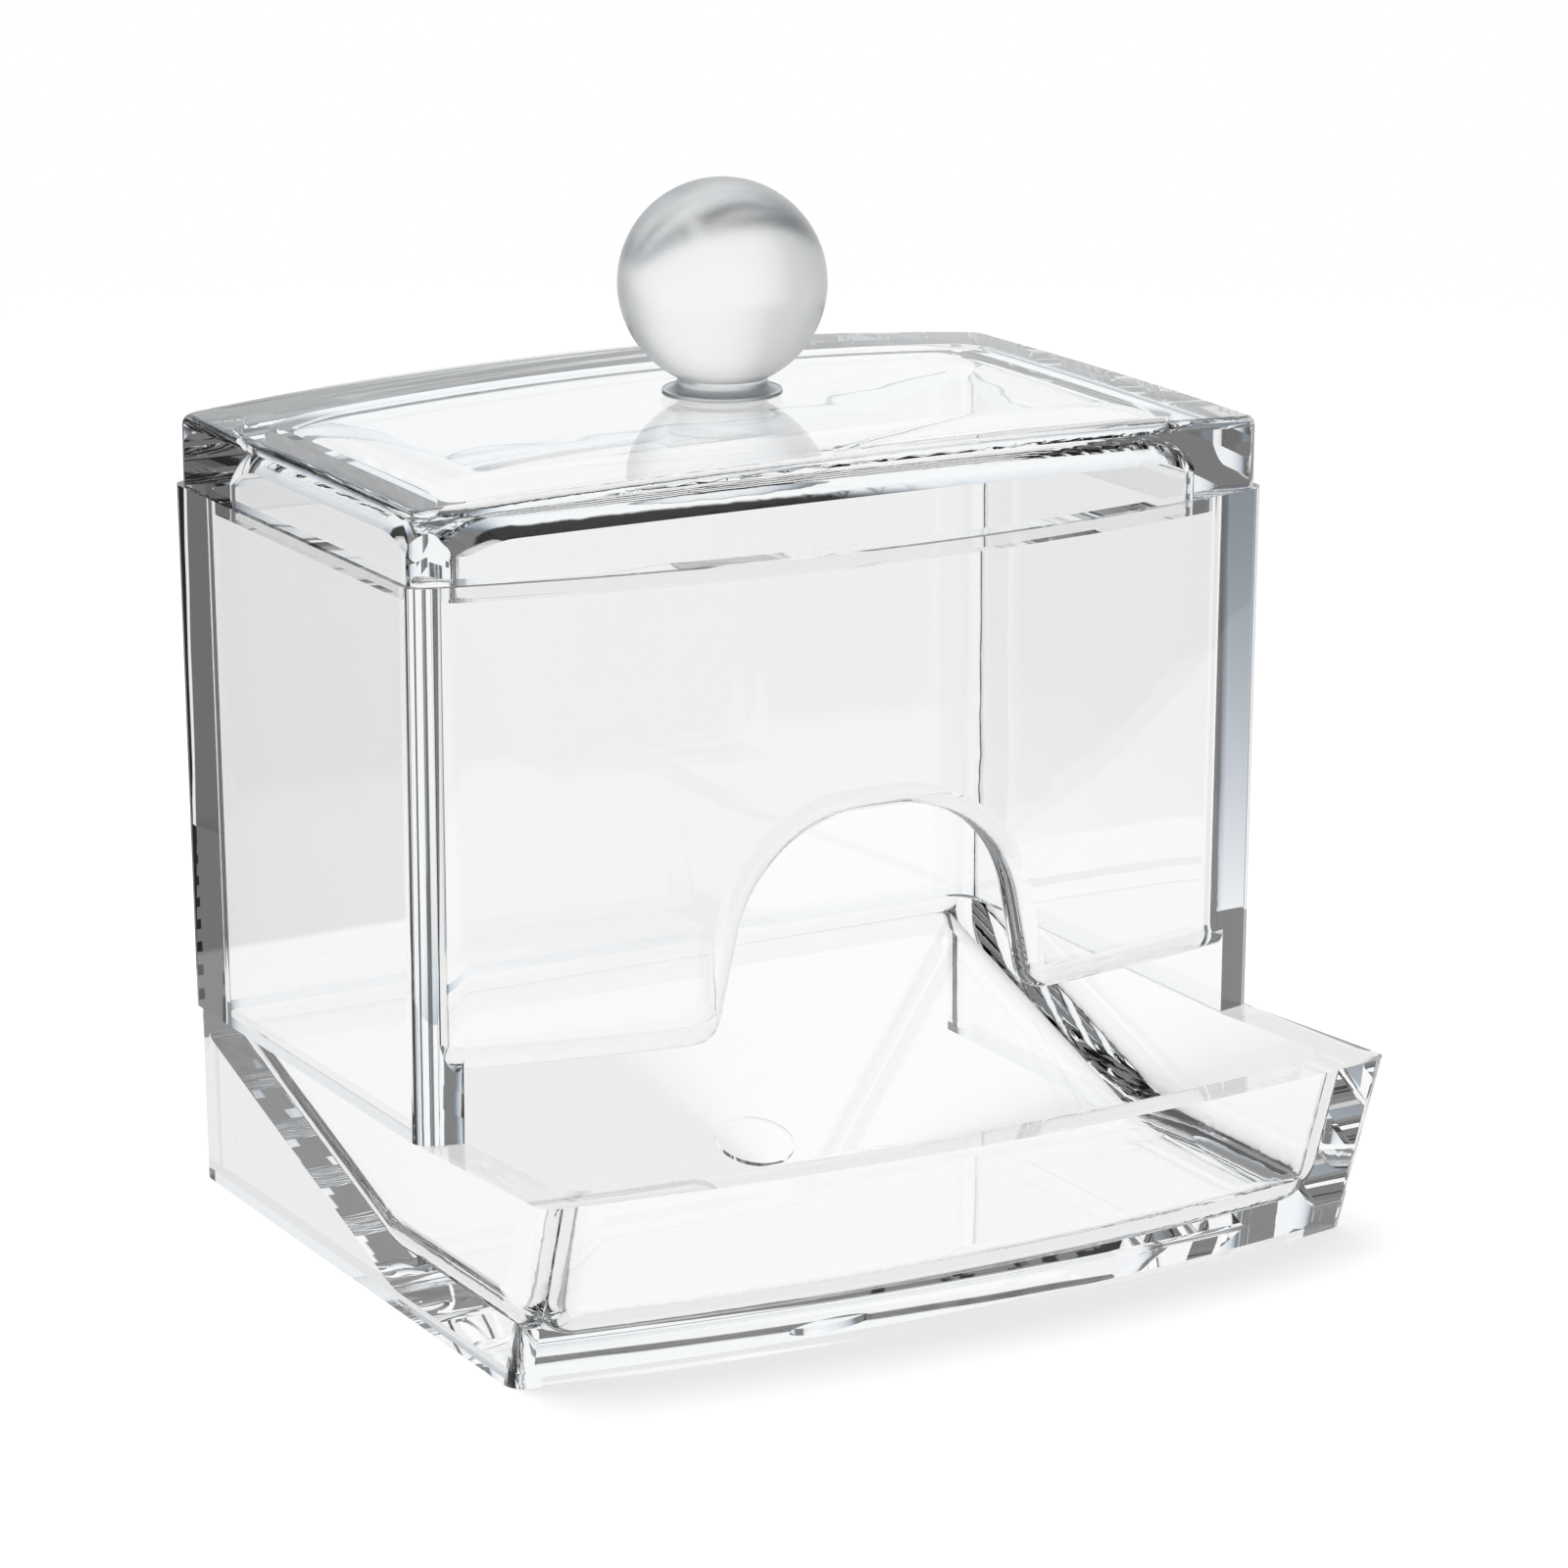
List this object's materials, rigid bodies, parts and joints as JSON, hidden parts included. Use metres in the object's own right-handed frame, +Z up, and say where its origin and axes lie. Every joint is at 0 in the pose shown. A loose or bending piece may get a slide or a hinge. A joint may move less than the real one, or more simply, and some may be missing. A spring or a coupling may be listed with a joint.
{
  "type": "cotton swab holder",
  "caption": "Clear moulded box that feeds cotton swabs down a sloping floor into an open front tray, with an arched finger opening and a lift-off lid with a ball knob.",
  "frame": {"origin": "on the surface it stands on, in the middle of the footprint", "axes": "+Z up, front with the open tray towards -Y, +X to the right seen from the front"},
  "size_m": [0.093, 0.0817, 0.1011],
  "materials": {
    "clear_plastic": "polished, clear"
  },
  "bodies": {
    "holder": {"base_tray": "clear_plastic", "box_body": "clear_plastic"},
    "lid": {"lid": "clear_plastic", "knob": "clear_plastic"}
  },
  "joints": [
    {"name": "lid_lift", "type": "slide", "parent": "holder", "child": "lid", "axis": [0, 0, 1], "range_m": [0, 0.04]}
  ]
}
